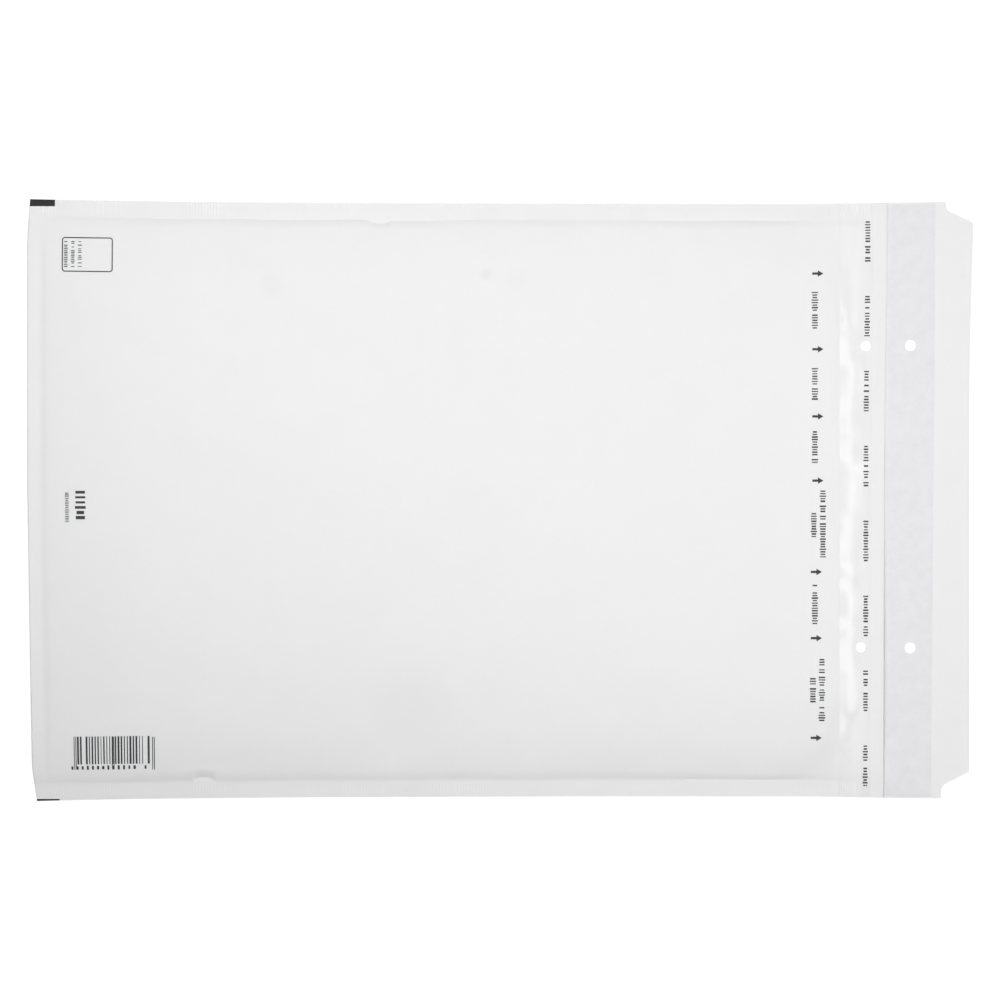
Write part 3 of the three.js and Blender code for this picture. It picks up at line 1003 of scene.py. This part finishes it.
def makeLining():
    film = makeFilm()
    dome, tree = domeMesh(), bubbleTree()
    columns, rows = bubbles["rows"]
    gap = filmGap + env["film"]
    startX = env["foldX"] + env["band"] + bubbles["fromEnds"]
    startY = -(rows - 1) / 2 * bubbles["pitch"] * rowPitch
    panels = []
    for upward in (True, False):
        domes = grow("domes", tree, {
            "Columns": columns, "Rows": rows, "Pitch": bubbles["pitch"] * mm,
            "Radius": bubbles["radius"] * mm, "Height": bubbles["height"] * mm, "Dome": dome,
            "Material": bubbleFilm})

        def onFilm(x, y, z):
            x, y = x + startX, y + startY
            low, high = backZ(x, y) + gap, frontZ(x, y) - gap
            room = np.clip((high - low - bubbles["between"]) / 2, bubbles["least"], bubbles["height"])
            lift = z / bubbles["height"] * room
            return x, y, low + lift if upward else high - lift

        reshape(domes, onFilm)
        if not upward:
            domes.data.flip_normals()
        smoothFaces(domes, sharpFrom["bubbles"])
        panels.append(domes)
    bpy.data.objects.remove(dome)
    return joinInto(film, panels)


bubbleLining = makeLining()
print("bubble lining", len(bubbleLining.data.polygons), "faces")


# Print: plain marks, flat shapes laid on the front panel
ink = {"thickness": 0.015, "lift": 0.04, "tile": (4, 9)}  # the last is the number of points on a mark's sides


def liveSocket(sockets, label):  # a random value node has one socket of each name for every type
    return next(socket for socket in sockets if socket.enabled and socket.name == label)


def markTree():
    tree, given, outputs = newTree("printMarks", [
        ("Count", "Int"), ("Start", "Vector"), ("Step", "Vector"), ("Mark Size", "Vector"),
        ("Least", "Vector"), ("Gaps", "Float"), ("Seed", "Int"), ("Material", "Material")])
    line = addNode(tree, "GeometryNodeMeshLine", Count=given["Count"], Start_Location=given["Start"],
                   Offset=given["Step"])
    gone = tree.nodes.new("FunctionNodeRandomValue")
    gone.data_type = "BOOLEAN"
    size = tree.nodes.new("FunctionNodeRandomValue")
    size.data_type = "FLOAT_VECTOR"
    least = addMath(tree, "MULTIPLY", given["Mark Size"], given["Least"], kind="ShaderNodeVectorMath")
    wire(tree, [
        (given["Gaps"], liveSocket(gone.inputs, "Probability")),
        (given["Seed"], liveSocket(gone.inputs, "Seed")),
        (least, liveSocket(size.inputs, "Min")), (given["Mark Size"], liveSocket(size.inputs, "Max")),
        (given["Seed"], liveSocket(size.inputs, "Seed"))])
    left = addNode(tree, "GeometryNodeDeleteGeometry", Geometry=line.outputs[0],
                   Selection=liveSocket(gone.outputs, "Value"))
    along, across = ink["tile"]
    tile = addNode(tree, "GeometryNodeMeshGrid", Size_X=1.0, Size_Y=1.0, Vertices_X=along, Vertices_Y=across)
    marks = addNode(tree, "GeometryNodeInstanceOnPoints", Points=left.outputs[0], Instance=tile.outputs[0],
                    Scale=liveSocket(size.outputs, "Value"))
    finishTree(tree, outputs, marks.outputs[0], given["Material"])
    return tree


def layOnFront(obj, lift=ink["lift"]):
    reshape(obj, lambda x, y, z: (x, y, frontZ(x, y) + lift))
    solid = obj.modifiers.new("ink", "SOLIDIFY")
    solid.thickness = ink["thickness"] * mm
    solid.offset = outwards
    return settle(obj)


printMarks = markTree()


def markRow(start, length, look, seed):
    x, y = fromPhoto(*start)
    turn = look["turn"]
    pitch = look["pitch"] * mm
    row = grow("marks", printMarks, {
        "Count": int(length * pixel / look["pitch"]), "Start": (x * mm, y * mm, 0),
        "Step": (pitch, 0, 0) if turn else (0, -pitch, 0),
        "Mark Size": (look["size"][0] * mm, look["size"][1] * mm, 1), "Least": look["least"],
        "Gaps": look["gaps"], "Seed": seed, "Material": darkInk})
    return layOnFront(row, look["lift"])


arrowLook = {"length": 5.9, "shaft": 1.25, "head": 2.9, "width": 3.5, "grid": 0.5, "clear": 0.2}
arrowPlaces = [(817, 274), (817, 349.5), (817, 416.5), (817, 480.5),
               (815.5, 571.5), (815.5, 637.5), (815.5, 737)]


def arrowMark(px, py):
    x, y = fromPhoto(px, py)
    end, shaft, width = (arrowLook[part] / 2 for part in ("length", "shaft", "width"))
    neck = end - arrowLook["head"]
    outline = [(-end, -shaft), (neck, -shaft), (neck, -width), (end, 0),
               (neck, width), (neck, shaft), (-end, shaft)]
    step = stations((-end, end, arrowLook["grid"]))
    flat, faces = dropUnused(*cutSheet(np.array(outline), [], [(step, step)], arrowLook["clear"]))
    arrow = meshFrom("arrow", [(mm * (x + a), mm * (y + b), 0) for a, b in flat], faces)
    arrow.data.materials.append(darkInk)
    return layOnFront(arrow)


noteLook = {"size": (3.5, 0.95), "pitch": 1.36, "least": (0.62, 0.6, 1), "gaps": 0.12, "turn": False,
            "lift": 0.05}
smallLook = {**noteLook, "size": (2.3, 0.6), "pitch": 0.95}
tapeRowLook = {**noteLook, "size": (2.9, 1.0), "pitch": 1.5, "lift": 0.17}
frameRowLook = {**noteLook, "size": (2.2, 0.6), "pitch": 0.95}
boldLook = {**noteLook, "size": (6.2, 1.9), "pitch": 2.7}
barLook = {"size": (1.12, 14.9), "pitch": 1.62, "least": (0.34, 1, 1), "gaps": 0.06, "turn": True,
           "lift": 0.05}
guardLook = {**barLook, "size": (0.45, 17.6), "pitch": 0.95, "least": (1, 1, 1), "gaps": 0.0}
footLook = {**barLook, "size": (1.3, 2.4), "pitch": 2.9, "least": (0.7, 0.7, 1)}
noteRows = [  # pixel of the row's start, its length in pixels and the seed of its marks
    ((814, 293), 42, 21), ((814, 369), 34, 22), ((814, 432), 34, 23), ((822, 491), 70, 24),
    ((813, 511), 32, 25), ((814, 585), 42, 26), ((821, 659), 65, 27), ((812, 678), 28, 28)]
otherRows = [((67 + 7 * i, 242), 27, 41 + i, frameRowLook) for i in range(3)]  # the same, and the marks' look
otherRows += [((81.5, 487), 43, 62, boldLook), ((76.5, 750), 78, 57, barLook)]
otherRows += [((x, 752.5), 4, 53, guardLook) for x in (72.5, 112.5, 153.5)]
otherRows += [((70, 767.5), 84, 52, footLook), ((68, 493), 32, 61, smallLook)]
tapeRows = {"x": 865.5, "first": 222, "step": 74.8, "count": 8, "length": 44, "seed": 71}
frameMark = {"low": (63, 272), "high": (114, 238), "line": 0.6, "radius": 1.6, "steps": 6, "finer": 2}


def roundedLoop(low, high, radius, inset):
    loop = []
    quarters = ((high[0], high[1], 0), (low[0], high[1], 1), (low[0], low[1], 2), (high[0], low[1], 3))
    for cx, cy, quarter in quarters:
        centre = (cx - math.copysign(radius, cx - (low[0] + high[0]) / 2),
                  cy - math.copysign(radius, cy - (low[1] + high[1]) / 2))
        for i in range(frameMark["steps"] + 1):
            angle = (quarter + i / frameMark["steps"]) * math.pi / 2
            loop.append((centre[0] + (radius - inset) * math.cos(angle),
                         centre[1] + (radius - inset) * math.sin(angle)))
    return loop


def makeFrame():
    low, high = fromPhoto(*frameMark["low"]), fromPhoto(*frameMark["high"])
    outer = roundedLoop(low, high, frameMark["radius"], 0)
    inner = roundedLoop(low, high, frameMark["radius"], frameMark["line"])
    count = len(outer)
    faces = [(i, (i + 1) % count, count + (i + 1) % count, count + i) for i in range(count)]
    ring = meshFrom("frame", [(a * mm, b * mm, 0) for a, b in outer + inner], faces)
    edges = ring.modifiers.new("finer", "SUBSURF")
    edges.subdivision_type = "SIMPLE"
    edges.levels = edges.render_levels = frameMark["finer"]
    settle(ring)
    ring.data.materials.append(darkInk)
    return layOnFront(ring)


def makePrint():
    parts = [arrowMark(*place) for place in arrowPlaces]
    parts += [markRow(start, length, noteLook, seed) for start, length, seed in noteRows]
    parts.append(makeFrame())
    parts += [markRow(start, length, look, seed) for start, length, seed, look in otherRows]
    return joinAs("frontPrint", parts)


def makeTapePrint():
    rows = []
    for i in range(tapeRows["count"]):
        start = (tapeRows["x"], tapeRows["first"] + tapeRows["step"] * i)
        rows.append(markRow(start, tapeRows["length"], tapeRowLook, tapeRows["seed"] + i))
    return joinAs("tapePrint", rows)


tapePrint = makeTapePrint()
frontPrint = makePrint()
print("print", len(frontPrint.data.polygons), "faces")

# Which body carries each piece, and the frame's part that each stands for, which is hidden
for piece in (outerPaper, sealRibRows, frontPrint, tapePrint, bubbleLining, reopenTape, adhesiveStrip,
              releaseLiner):
    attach(piece, "root")
for piece, node, slotName in ((outerPaper, "outer_paper", "white_paper"),
                              (bubbleLining, "bubble_lining", "bubble_film"),
                              (reopenTape, "reopen_tape", "clear_tape"),
                              (adhesiveStrip, "adhesive_strip", "hot_melt"),
                              (releaseLiner, "release_liner", "liner_paper")):
    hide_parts(node)
print("pieces on their body")

# Floor, light and camera
stage = {"floorSide": 6.0, "floorZ": -0.0001, "floorColor": 0.8, "floorGlow": 0.95, "floorShade": 0.13,
         "world": 0.12, "mirroredFrom": 1}


def makeFloor():
    half, z = stage["floorSide"] / 2, stage["floorZ"]
    floor = meshFrom("floor", [(-half, -half, z), (half, -half, z), (half, half, z), (-half, half, z)],
                     [(0, 1, 2, 3)])
    material = bpy.data.materials.new("whiteFloor")
    material.use_nodes = True
    tree = material.node_tree
    tree.nodes.clear()
    output = tree.nodes.new("ShaderNodeOutputMaterial")
    plain = addNode(tree, "ShaderNodeBsdfDiffuse", Color=(*[stage["floorColor"]] * 3, 1))
    soft = addNode(tree, "ShaderNodeBsdfDiffuse", Color=(*[stage["floorShade"]] * 3, 1))
    glow = addNode(tree, "ShaderNodeEmission", Strength=stage["floorGlow"])
    bright = tree.nodes.new("ShaderNodeAddShader")
    choose = tree.nodes.new("ShaderNodeMixShader")
    path = tree.nodes.new("ShaderNodeLightPath").outputs
    seen = addMath(tree, "MAXIMUM", path["Is Camera Ray"], path["Is Glossy Ray"])
    seen = addMath(tree, "MAXIMUM", seen, path["Is Transmission Ray"])
    wire(tree, [
        (soft.outputs[0], bright.inputs[0]), (glow.outputs[0], bright.inputs[1]),
        (seen, choose.inputs[0]), (plain.outputs[0], choose.inputs[1]), (bright.outputs[0], choose.inputs[2]),
        (choose.outputs[0], output.inputs[0])])
    floor.data.materials.append(material)


lamps = [  # name, place, aimed at, size, power, spread in degrees
    ("keyRight", (3.3, 0.5, 3.5), (0.0, 0.5, 0.0), (5.4, 0.5), 58.5, 180),
    ("fillLeft", (-3.0, 0.8, 3.0), (0.0, 0.0, 0.0), (3.0, 2.0), 22.5, 180),
    ("sideTop", (0.3, 3.4, 2.6), (0.0, 0.0, 0.0), (3.0, 1.5), 8.8, 180),
    ("above", (0.0, 0.3, 3.0), (0.0, 0.1, 0.0), (2.0, 2.0), 7.5, 180),
    ("nearMiddle", (0.22, 0.12, 0.7), (0.22, 0.12, 0.0), (0.5, 0.5), 1.47, 150),
    ("nearRight", (0.25, -0.1, 0.7), (0.25, -0.1, 0.0), (0.4, 0.4), 1.05, 150),
    ("nearLeft", (-0.25, 0.14, 0.5), (-0.25, 0.14, 0.0), (0.3, 0.3), 0.51, 150),
]


def makeLights():
    world = bpy.data.worlds.new("studio")
    bpy.context.scene.world = world
    world.use_nodes = True
    background = world.node_tree.nodes["Background"]
    background.inputs["Color"].default_value = (1, 1, 1, 1)
    background.inputs["Strength"].default_value = stage["world"]
    for name, place, target, size, power, spread in lamps:
        data = bpy.data.lights.new(name, "AREA")
        data.shape = "RECTANGLE"
        data.size, data.size_y = size
        data.energy = power
        data.spread = math.radians(spread)
        lamp = bpy.data.objects.new(name, data)
        lamp.location = place
        lamp.visible_camera = False
        lamp.visible_glossy = place[2] > stage["mirroredFrom"]  # the tape mirrors only the large, far lamps
        lamp.rotation_euler = (Vector(target) - Vector(place)).to_track_quat("-Z", "Y").to_euler()
        bpy.context.scene.collection.objects.link(lamp)


cameraLook = {"lens": 200, "sensor": 36, "centre": (0.0001, 0.0001), "farthest": 20}


def makeCamera():
    data = bpy.data.cameras.new("camera")
    data.lens = cameraLook["lens"]
    data.sensor_width = cameraLook["sensor"]
    data.clip_end = cameraLook["farthest"]
    camera = bpy.data.objects.new("camera", data)
    side = photoSide * pixel * mm
    camera.location = (*cameraLook["centre"], side * cameraLook["lens"] / cameraLook["sensor"])
    bpy.context.scene.collection.objects.link(camera)
    bpy.context.scene.camera = camera


makeFloor()
makeLights()
makeCamera()
bpy.context.scene.view_settings.view_transform = "Standard"
print("floor, light and camera set")
